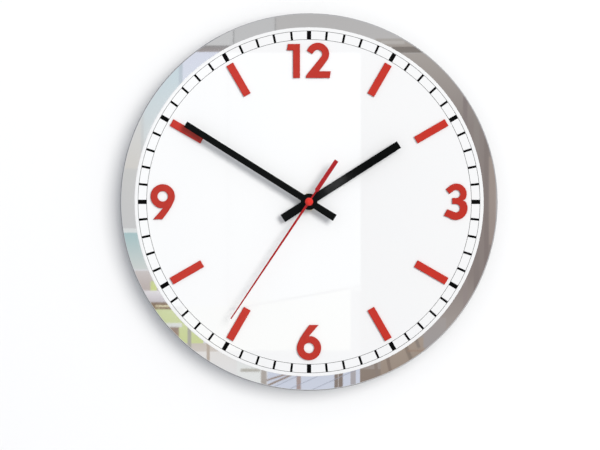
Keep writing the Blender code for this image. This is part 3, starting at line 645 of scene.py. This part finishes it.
def build_mirror():
    """The mirrored backplate: silvered front, polished edge and painted back."""
    radius, depth = extent("mirror_plate")
    mesh = lathe(ring_profile(HOLE_RADIUS, radius, depth, MIRROR_ROUNDING), RIM_STEPS, closed=True)
    disc = add_piece("mirror_disc", mesh, "clock_body", ["mirror", "mirror_back", "mirror_edge"],
                     ["mirror_plate"])
    back_facing, side_facing = 0.9, 0.35
    for face in disc.data.polygons:
        if face.normal.y > back_facing:
            face.material_index = 1
        elif abs(face.normal.y) < side_facing:
            face.material_index = 2


def build_dial():
    radius, depth = extent("dial_disc")
    mesh = lathe(ring_profile(HOLE_RADIUS, radius, depth, DIAL_ROUNDING), RIM_STEPS, closed=True)
    add_piece("white_dial", mesh, "clock_body", ["white_acrylic"], ["dial_disc"])
    build_track(depth[1])


def build_track(face):
    """The printed minute track: two hairlines, sixty strokes, and a wider one every five minutes."""
    ink = (face - INK_THICKNESS / 2, face + INK_THICKNESS)
    half_line = TRACK_LINE / 2
    shells = []
    for radius in TRACK_RADII:
        inner, outer = radius - half_line, radius + half_line
        section = [(outer, ink[0]), (outer, ink[1]), (inner, ink[1]), (inner, ink[0])]
        shells.append(lathe(section, RIM_STEPS, closed=True))
    for minute in range(60):
        half = (TICK_WIDTH if minute % 5 else FIVE_MINUTE_WIDTH) / 2
        outline = turned(rectangle(-half, half, *TRACK_RADII), minute * 6)
        shells.append(plate(outline, ink))
    add_piece("minute_track", joined(shells), "clock_body", ["ink"])


def build_bars():
    half = BAR_WIDTH / 2
    depth = extent("hour_bar_01")[1]
    for hour in BAR_HOURS:
        outline = turned(rectangle(-half, half, *BAR_RADII), hour * 30)
        add_piece(f"bar_{hour:02d}", plate(outline, depth), "clock_body", ["bar_red"],
                  [f"hour_bar_{hour:02d}"], bevel=MARK_BEVEL)


def figure_one():
    half, stroke = FIGURE_HEIGHT / 2, FIGURE_STROKE / 2
    return [(-6.8, half), (-7.7, 8.5), (-stroke, 8.4), (-stroke, -half), (stroke, -half), (stroke, half)]


def figure_two():
    half = FIGURE_HEIGHT / 2
    bowl = (0.0, 5.5)
    outline = arc(bowl, 9.0, 163, -36, 56)
    outline += [(1.0, -8.1), (10.3, -8.1), (9.5, -half), (-9.4, -half), (-9.4, -11.6)]
    return outline + arc(bowl, 3.45, -28, 140, 36) + [(-4.5, 5.5)]


def figure_three():
    upper, lower = (0.4, 6.3), (0.0, -5.0)
    outline = [(-8.0, 9.9)] + arc(upper, 8.25, 128, -30, 42) + [(5.8, 1.1)]
    outline += arc(lower, 9.35, 33, -125, 48) + [(-9.6, -10.9), (-6.7, -5.8)]
    outline += arc(lower, 3.3, -125, 90, 36) + [(-2.9, -1.75), (-2.9, 3.1)]
    return outline + arc(upper, 3.15, -90, 125, 36) + [(-5.0, 6.3)]


def figure_six():
    """The outline of a 6 about the centre of its bowl."""
    shoulder = (-9.07, 3.3)
    tail = (0.33, 18.3)
    outline = arc((0.0, 0.0), 9.65, 75, -200, 84)
    outline += bend(shoulder, (-6.9, 9.3), tail, 20)
    return outline + [tail, (7.6, 18.3), (-0.1, 9.4)]


def build_figures():
    depth = extent("numeral_1")[1]
    six = figure_six()
    counter = circle(4.1, steps=64)
    figures = (("1", figure_one(), ()), ("2", figure_two(), ()), ("3", figure_three(), ()),
               ("6", six, [counter]), ("9", [(-x, -y) for x, y in six], [counter]))
    for figure, outline, holes in figures:
        place = FIGURE_PLACES[figure]
        mesh = plate(moved(outline, *place), depth, [moved(hole, *place) for hole in holes])
        add_piece(f"figure_{figure}", mesh, "clock_body", ["figure_red"],
                  [f"numeral_{figure}"], bevel=MARK_BEVEL)


def hand_outline(hand):
    """A straight tapering bar from tail to tip that swells to a round hub at the arbor."""
    tip_half, tail_half = hand["tip_width"] / 2, hand["tail_width"] / 2
    hub_half = min((tip_half + tail_half) / 2, hand["hub"] * 0.9)
    leave = math.degrees(math.asin(hub_half / hand["hub"]))
    outline = [(tip_half, hand["tip"]), (-tip_half, hand["tip"])]
    outline += arc(ARBOR, hand["hub"], 90 + leave, 270 - leave, 40)
    outline += [(-tail_half, -hand["tail"]), (tail_half, -hand["tail"])]
    return outline + arc(ARBOR, hand["hub"], 270 + leave, 450 - leave, 40)


def second_hand_outline(hand):
    """A fine tapering needle, a round hub and a narrow neck that widens to a flat tail."""
    tip_half, needle_half, neck_half, tail_half = (
        hand[key] / 2 for key in ("tip_width", "needle_width", "neck_width", "tail_width"))
    front = math.degrees(math.asin(needle_half / hand["hub"]))
    back = math.degrees(math.asin(neck_half / hand["hub"]))
    left = [(-neck_half, -hand["neck"]), (-tail_half, -hand["shoulder"]), (-tail_half, -hand["tail"])]
    right = [(-x, y) for x, y in reversed(left)]
    outline = [(tip_half, hand["tip"]), (-tip_half, hand["tip"])]
    outline += arc(ARBOR, hand["hub"], 90 + front, 270 - back, 40) + left + right
    return outline + arc(ARBOR, hand["hub"], 270 + back, 450 - front, 40)


def build_hand(name, hand, outline, depth, body, look, node):
    mesh = plate(turned(outline, hand["angle"]), depth, [circle(hand["hole"], steps=48)])
    add_piece(name, mesh, body, [look], [node], bevel=HAND_BEVEL)


def build_hands():
    build_hand("hour_hand_blade", HOUR_HAND, hand_outline(HOUR_HAND), extent("hour_hand")[1],
               "hour_pipe", "black_hands", "hour_hand")
    build_hand("minute_hand_blade", MINUTE_HAND, hand_outline(MINUTE_HAND), extent("minute_hand")[1],
               "minute_arbor", "black_hands", "minute_hand")
    back, front = extent("second_hand")[1]
    blade_back = front - BLADE_THICKNESS
    build_hand("second_hand_blade", SECOND_HAND, second_hand_outline(SECOND_HAND), (blade_back, front),
               "seconds_arbor", "red_paint", "second_hand")
    collet = lathe(ring_profile(*COLLET_RADII, (back, blade_back), 0.08), 48, closed=True)
    add_piece("second_hand_collet", collet, "seconds_arbor", ["brass"])
    build_cap()


def build_cap():
    """The domed cap on the second hand, with a small step round its foot."""
    radius, (back, front) = extent("second_hand_cap")
    step, chamfer = 0.5, 0.06
    rim = radius - 0.25
    rise = front - back - step
    dome = [(rim * math.cos(angle), back + step + rise * math.sin(angle))
            for angle in (math.radians(90 - 90 * index / 16) for index in range(17))]
    foot = [(radius - chamfer, back + step), (radius, back + step - chamfer), (radius, back + chamfer),
            (radius - chamfer, back), (0.0, back)]
    profile = [(0.0, front)] + dome[1:] + foot
    add_piece("second_hand_dome", lathe(profile, 96), "seconds_arbor", ["red_cap"],
              ["second_hand_cap"])


def own_body(node):
    """The body that a CAD node rides on."""
    return frame["nodes"][node].parent.name.split(":")[1]


def refine(node, name, look, bevel, mesh=None):
    """Stands a cleaned copy of a CAD node in for it, with its edges rounded."""
    add_piece(name, mesh or clean_copy(node), own_body(node), [look], [node],
              bevel=bevel)


def build_nut():
    """The hex nut on the dial, its corners turned down to a cone on both sides."""
    mesh = clean_copy("dial_nut")
    back, front = extent("dial_nut")[1]
    corner = max(vertex.co.xz.length for vertex in mesh.vertices) / MM
    inset, reach, drop, spare = corner - 0.75, corner + 0.1, 0.45, 0.01
    cone = lathe([(0.0, front + spare), (inset, front + spare), (reach, front - drop),
                  (reach, back + drop), (inset, back - spare), (0.0, back - spare)])
    refine("dial_nut", "dial_nut_hex", "brass", 0.08, combined(mesh, cone, "INTERSECT"))


def build_post():
    """The threaded post that clamps the movement to the dial, with its thread cut in rings."""
    back, front = extent("threaded_post")[1]
    flange_front = back + FLANGE_THICKNESS
    cut, flank, flat, lead = 0.42, 0.32, 0.04, 0.3
    profile = [(POST_BORE, back), (POST_FLANGE, back), (POST_FLANGE, flange_front),
               (POST_RADIUS, flange_front)]
    depth = flange_front + 0.6
    while depth + THREAD_PITCH < front - lead:
        profile += [(POST_RADIUS, depth), (POST_RADIUS - cut, depth + flank),
                    (POST_RADIUS - cut, depth + flank + flat), (POST_RADIUS, depth + 2 * flank + flat)]
        depth += THREAD_PITCH
    profile += [(POST_RADIUS, front - lead), (POST_RADIUS - 0.25, front), (POST_BORE, front)]
    refine("threaded_post", "threaded_post_ringed", "brass", 0.0, lathe(profile, 64, closed=True))


def build_rings():
    """The washer under the nut and the gasket behind the mirror."""
    for node, name, look in (("dial_washer", "washer_ring", "brass"),
                             ("rubber_gasket", "gasket_ring", "rubber")):
        radius, depth = extent(node)
        mesh = lathe(ring_profile(HOLE_RADIUS, radius, depth, 0.12), 128, closed=True)
        refine(node, name, look, 0.0, mesh)


def stroke(points, width, depth, closed=False):
    """A band of one width along a line, as a flat solid between two depths."""
    left, right = [], []
    last = len(points) - 1
    for index, (x, y) in enumerate(points):
        before = points[index - 1] if closed or index else points[0]
        after = points[(index + 1) % len(points)] if closed or index < last else points[-1]
        dx, dy = after[0] - before[0], after[1] - before[1]
        reach = width / 2 / math.hypot(dx, dy)
        left.append((x - dy * reach, y + dx * reach))
        right.append((x + dy * reach, y - dx * reach))
    if closed:
        return plate(left, depth, [right])
    return plate(left + right[::-1], depth)


def arrow_marks(centre, radius, depth):
    """Two curved arrows round a centre, as the marks round a setting knob."""
    marks = []
    for start in (20, 200):
        marks.append(stroke(arc(centre, radius, start, start + 104, 26), 0.7, depth))
        tip = on_circle(centre, radius, start + 124)
        foot = [on_circle(centre, radius + side * 1.4, start + 103) for side in (-1, 1)]
        marks.append(plate([tip, *foot], depth))
    return marks


def frame_line(left, right, bottom, top, corner, width, depth):
    """A band round a rounded rectangle."""
    line = []
    for x, y, start in ((right - corner, top - corner, 0), (left + corner, top - corner, 90),
                        (left + corner, bottom + corner, 180), (right - corner, bottom + corner, 270)):
        line += arc((x, y), corner, start, start + 90, 8)
    return stroke(line, width, depth, closed=True)


def cell_signs(depth):
    """A plus to the right and a minus to the left, as the marks over a battery bay."""
    level, reach = -9.6, 21.0
    half, width = 1.2, 0.6
    arms = [[(x - half, level), (x + half, level)] for x in (-reach, reach)]
    signs = [stroke(arm, width, depth) for arm in arms]
    signs.append(stroke([(reach, level - half), (reach, level + half)], width, depth))
    return signs


def build_cover():
    """The rear cover with engraved arrows, polarity marks, a border line and moulding witness rings."""
    back = extent("rear_cover")[1][0]
    depth = (back - OVERCUT, back + ENGRAVING)
    cutters = arrow_marks(SETTING, 9.6, depth) + cell_signs(depth)
    cutters.append(frame_line(-25.6, 25.6, -7.2, 25.6, 2.5, 0.4, depth))
    for x, y in ((-20.5, 20.5), (20.5, 21.0), (-20.5, -2.2), (1.0, -2.2)):
        cutters.append(stroke(circle(1.5, (x, y), 40), 0.25, depth, closed=True))
    mesh = clean_copy("rear_cover")
    for cutter in cutters:
        mesh = combined(mesh, cutter, "DIFFERENCE")
    refine("rear_cover", "rear_cover_engraved", "black_plastic", 0.1, mesh)


def build_case():
    """The movement case with shallow grooves across its sides, which leave ribs between them."""
    mesh = clean_copy("movement_case")
    for side in (-1, 1):
        left, right = sorted((side * (CASE_HALF - ENGRAVING), side * (CASE_HALF + OVERCUT)))
        for level in GROOVE_LEVELS:
            groove = box_mesh((left, level, GROOVE_DEPTHS[0]),
                              (right, level + GROOVE_WIDTH, GROOVE_DEPTHS[1]))
            mesh = combined(mesh, groove, "DIFFERENCE")
    refine("movement_case", "movement_case_moulded", "black_plastic", 0.2, mesh)


def build_cell():
    """The AA cell: steel ends and button, a printed film round it and polarity signs on the film."""
    place = UPRIGHT @ Matrix.Translation((0, CELL_Y, CELL_DEPTH)) @ Matrix.Rotation(math.pi / 2, 4, "Y")
    low, high = CELL_BODY
    radius, film = CELL_RADIUS, CELL_RADIUS - 0.08
    nub = CELL_NUB_RADIUS
    signs = ((16.5, 2.1, 0.7), (-18.5, 2.1, 0.7))
    film_stops = sorted(x + part for x, reach, thin in signs for part in (-reach, -thin, thin, reach))
    profile = [(0.0, CELL_NUB_END), (nub - 0.5, CELL_NUB_END), (nub - 0.15, CELL_NUB_END - 0.15),
               (nub, CELL_NUB_END - 0.5), (nub, high + 0.05), (nub + 0.5, high - 0.15),
               (radius - 1.5, high - 0.15), (radius - 1.2, high), (radius - 0.5, high),
               (radius - 0.12, high - 0.14), (radius, high - 0.5), (radius, high - 1.2)]
    stops = sorted(film_stops + list(CELL_BAND), reverse=True)
    profile += [(radius, x) for x in stops]
    profile += [(radius, low + 1.0), (radius, low + 0.5), (film - 0.1, low + 0.15), (radius - 0.6, low),
                (radius - 1.6, low), (radius - 1.9, low + 0.2), (radius - 4.0, low + 0.2), (0.0, low + 0.1)]
    mesh = lathe(profile, 72, place=place)
    piece = add_piece("aa_cell_labelled", mesh, "battery",
                      ["plated_steel", "cell_label", "cell_band", "cell_print"], ["aa_cell"])
    back = place.inverted()
    for face in piece.data.polygons:
        centre = back @ (face.center / MM)
        distance = centre.xy.length
        if distance < radius - 0.3 or not low + 0.5 < centre.z < high - 0.5:
            continue
        face.material_index = 2 if CELL_BAND[0] < centre.z < CELL_BAND[1] else 1
        across = abs(math.atan2(centre.y, centre.x)) * radius
        for index, (x, reach, thin) in enumerate(signs):
            along = abs(centre.z - x)
            level_arm = along < reach and across < thin
            upright_arm = along < thin and across < reach
            if level_arm or (upright_arm and index == 0):
                face.material_index = 3


def build_movement():
    for node, word, look, bevel in REFINED:
        refine(node, f"{node}_{word}", look, bevel)


# -------- stage


def stage_piece(name, mesh, material):
    piece = bpy.data.objects.new(name, mesh)
    mesh.materials.append(material)
    bpy.context.scene.collection.objects.link(piece)
    return piece


def flat_face(corners):
    mesh = bpy.data.meshes.new("panel")
    mesh.from_pydata(corners, [], [tuple(range(len(corners)))])
    return mesh


def light_panel(name, place, size, power, colour, target):
    light = bpy.data.lights.new(name, "AREA")
    light.shape = "RECTANGLE"
    light.size, light.size_y = size
    light.energy = power
    light.color = colour
    lamp = bpy.data.objects.new(name, light)
    lamp.location = place
    lamp.rotation_euler = (Vector(target) - Vector(place)).to_track_quat("-Z", "Y").to_euler()
    lamp.visible_camera = False
    lamp.visible_glossy = False
    bpy.context.scene.collection.objects.link(lamp)


def build_wall_and_floor():
    """A white wall that is seen from the front only, and a pale floor well below the clock."""
    wall_look = bpy.data.materials.new("wall_paint")
    wall_look.use_nodes = True
    tree = wall_look.node_tree
    paint = tree.nodes["Principled BSDF"]
    paint.inputs["Base Color"].default_value = WALL_COLOUR
    paint.inputs["Roughness"].default_value = 0.9
    paint.inputs["Specular IOR Level"].default_value = 0.1
    clear = add_node(tree, "BsdfTransparent")
    side = add_node(tree, "NewGeometry")
    mix = add_node(tree, "MixShader")
    tree.links.new(side.outputs["Backfacing"], mix.inputs[0])
    tree.links.new(paint.outputs[0], mix.inputs[1])
    tree.links.new(clear.outputs[0], mix.inputs[2])
    tree.links.new(mix.outputs[0], tree.nodes["Material Output"].inputs["Surface"])
    corners = [(x, WALL_PLACE, z) for x, z in rectangle(*WALL_SIDES)]
    wall = stage_piece("white_wall", flat_face(corners), wall_look)
    wall.visible_diffuse = False
    wall.visible_glossy = False
    wall.visible_shadow = False
    floor_look = make_material("floor_paint", ((0.24, 0.24, 0.24), (0.22, 0.22, 0.22)), (0.6, 0.8),
                               patch=4.0, grain=200.0, height=0.1, Emission_Color=(0.96, 0.97, 1.0, 1.0),
                               Emission_Strength=0.5, Specular_IOR_Level=0.1)
    sides = (-FLOOR_REACH, FLOOR_REACH, -FLOOR_REACH, FLOOR_REACH)
    floor = stage_piece("pale_floor", flat_face([(x, y, FLOOR_HEIGHT) for x, y in rectangle(*sides)]),
                        floor_look)
    floor.visible_diffuse = False


def build_world():
    """Soft light from all round but weak behind the wall, and brighter to the eye and in reflections."""
    world = bpy.data.worlds.new("studio")
    world.use_nodes = True
    tree = world.node_tree
    sky = tree.nodes["Background"]
    sky.inputs["Color"].default_value = SKY_COLOUR
    way = add_node(tree, "TexCoord")
    split = add_node(tree, "SeparateXYZ")
    tree.links.new(way.outputs["Generated"], split.inputs[0])
    strength = ranged(tree, split.outputs["Y"], SOFT_LIGHT, SOFT_LIGHT_BEHIND, *SOFT_LIGHT_TURN)
    ray = add_node(tree, "LightPath")
    for output, level in (("Is Glossy Ray", REFLECTED_SKY), ("Is Camera Ray", SEEN_SKY)):
        choose = tree.nodes.new("ShaderNodeMix")
        tree.links.new(ray.outputs[output], choose.inputs["Factor"])
        tree.links.new(strength, choose.inputs["A"])
        choose.inputs["B"].default_value = level
        strength = choose.outputs["Result"]
    tree.links.new(strength, sky.inputs["Strength"])
    bpy.context.scene.world = world


def build_lights():
    """A key light for the clock, a softer one for the wall alone, and a light from behind."""
    for light in LIGHTS:
        light_panel(*light)
    for name, state in WALL_LINKS:
        receivers = bpy.data.collections.new(f"{name}_on_wall")
        receivers.objects.link(bpy.data.objects["white_wall"])
        bpy.data.objects[name].light_linking.receiver_collection = receivers
        receivers.collection_objects[0].light_linking.link_state = state


def glow(name, bottom, top):
    """A lit surface of the room that runs from one screen colour at its foot to another at its top."""
    material = bpy.data.materials.new(name)
    material.use_nodes = True
    tree = material.node_tree
    tree.nodes.remove(tree.nodes["Principled BSDF"])
    place = add_node(tree, "TexCoord")
    split = add_node(tree, "SeparateXYZ")
    tree.links.new(place.outputs["Generated"], split.inputs[0])
    blend = mixed(tree, split.outputs["Z"], linear(bottom), linear(top))
    light = add_node(tree, "Emission", Strength=1 / MIRROR_GAIN)
    tree.links.new(blend, light.inputs["Color"])
    tree.links.new(light.outputs[0], tree.nodes["Material Output"].inputs["Surface"])
    return material


def room_place(x, z, layer):
    """Where in the room a point of the mirror looks to, when it is seen from the camera."""
    distance = ROOM_DISTANCE - layer * ROOM_LAYER
    reach = 1 + (distance - MIRROR_FACE) / (CAMERA_DISTANCE + DIAL_FACE - MIRROR_FACE)
    return ((CAMERA_PLACE[0] + (x - CAMERA_PLACE[0]) * reach) * MM, -distance * MM,
            (CAMERA_PLACE[1] + (z - CAMERA_PLACE[1]) * reach) * MM)


def hide_from_all_but_gloss(piece):
    piece.visible_camera = False
    piece.visible_diffuse = False
    piece.visible_shadow = False
    piece.visible_transmission = False
    piece.visible_volume_scatter = False


def room_panel(name, corners, layer, bottom, top, boost=1.0):
    """A panel of the room, whose corners are the mirror's points that look at them."""
    material = glow(name, bottom, top)
    if boost != 1.0:
        material.node_tree.nodes["Emission"].inputs["Strength"].default_value = boost
    panel = stage_piece(name, flat_face([room_place(x, z, layer) for x, z in corners]), material)
    hide_from_all_but_gloss(panel)


def build_room():
    """The lit room that the mirror looks into, from the far surfaces to the near ones."""
    for layer, (name, sides, bottom, top) in enumerate(ROOM):
        room_panel(f"room_{name}", rectangle(*sides), layer, bottom, top)
    layer = len(ROOM)
    for name, sides, bottom, top in INNER_ROOM:
        room_panel(f"room_{name}", clipped(circle(INNER_REACH), *sides), layer, bottom, top, INNER_GLOW)
        layer += 1
    for name, start, end, thickness, colour in SLANTED:
        (x0, z0), (x1, z1) = start, end
        length = math.hypot(x1 - x0, z1 - z0)
        dx, dz = -(z1 - z0) / length * thickness / 2, (x1 - x0) / length * thickness / 2
        corners = [(x0 - dx, z0 - dz), (x1 - dx, z1 - dz), (x1 + dx, z1 + dz), (x0 + dx, z0 + dz)]
        room_panel(f"room_{name}", corners, layer, colour, colour)
        layer += 1
    length, width = LAMP_SIZE
    outline = turned(rectangle(-length / 2, length / 2, -width / 2, width / 2), LAMP_TURN)
    room_panel("room_lamp", moved(outline, *LAMP_PLACE), layer, WHITE, WHITE, LAMP_STRENGTH)


def build_cards():
    """Cards outside the picture that only gloss and the mirror show."""
    for name, start, end, colour in RIM_CARDS:
        line = arc(ARBOR, RIM_CARD_RADIUS, start, end, 48)
        corners = [(x * MM, -depth * MM, y * MM) for x, y in line for depth in RIM_CARD_DEPTHS]
        mesh = bpy.data.meshes.new(name)
        mesh.from_pydata(corners, [], [(at, at + 1, at + 3, at + 2) for at in range(0, len(corners) - 2, 2)])
        hide_from_all_but_gloss(stage_piece(name, mesh, glow(name, colour, colour)))
    hide_from_all_but_gloss(stage_piece("rear_card", flat_face(REAR_CARD), glow("rear_card", WHITE, WHITE)))


def build_camera():
    camera_data = bpy.data.cameras.new("camera")
    camera_data.lens = CAMERA_LENS
    camera_data.sensor_width = SENSOR_WIDTH
    camera = bpy.data.objects.new("camera", camera_data)
    camera.location = (CAMERA_PLACE[0] * MM, -(DIAL_FACE + CAMERA_DISTANCE) * MM, CAMERA_PLACE[1] * MM)
    camera.rotation_euler = (math.pi / 2, 0, 0)
    bpy.context.scene.collection.objects.link(camera)
    bpy.context.scene.camera = camera


LOOKS = make_materials()
build_camera()
build_wall_and_floor()
build_world()
build_lights()
build_room()
build_cards()
build_mirror()
build_dial()
build_bars()
build_figures()
build_hands()
build_nut()
build_post()
build_rings()
build_cover()
build_case()
build_cell()
build_movement()
bpy.context.scene.view_settings.view_transform = "Standard"
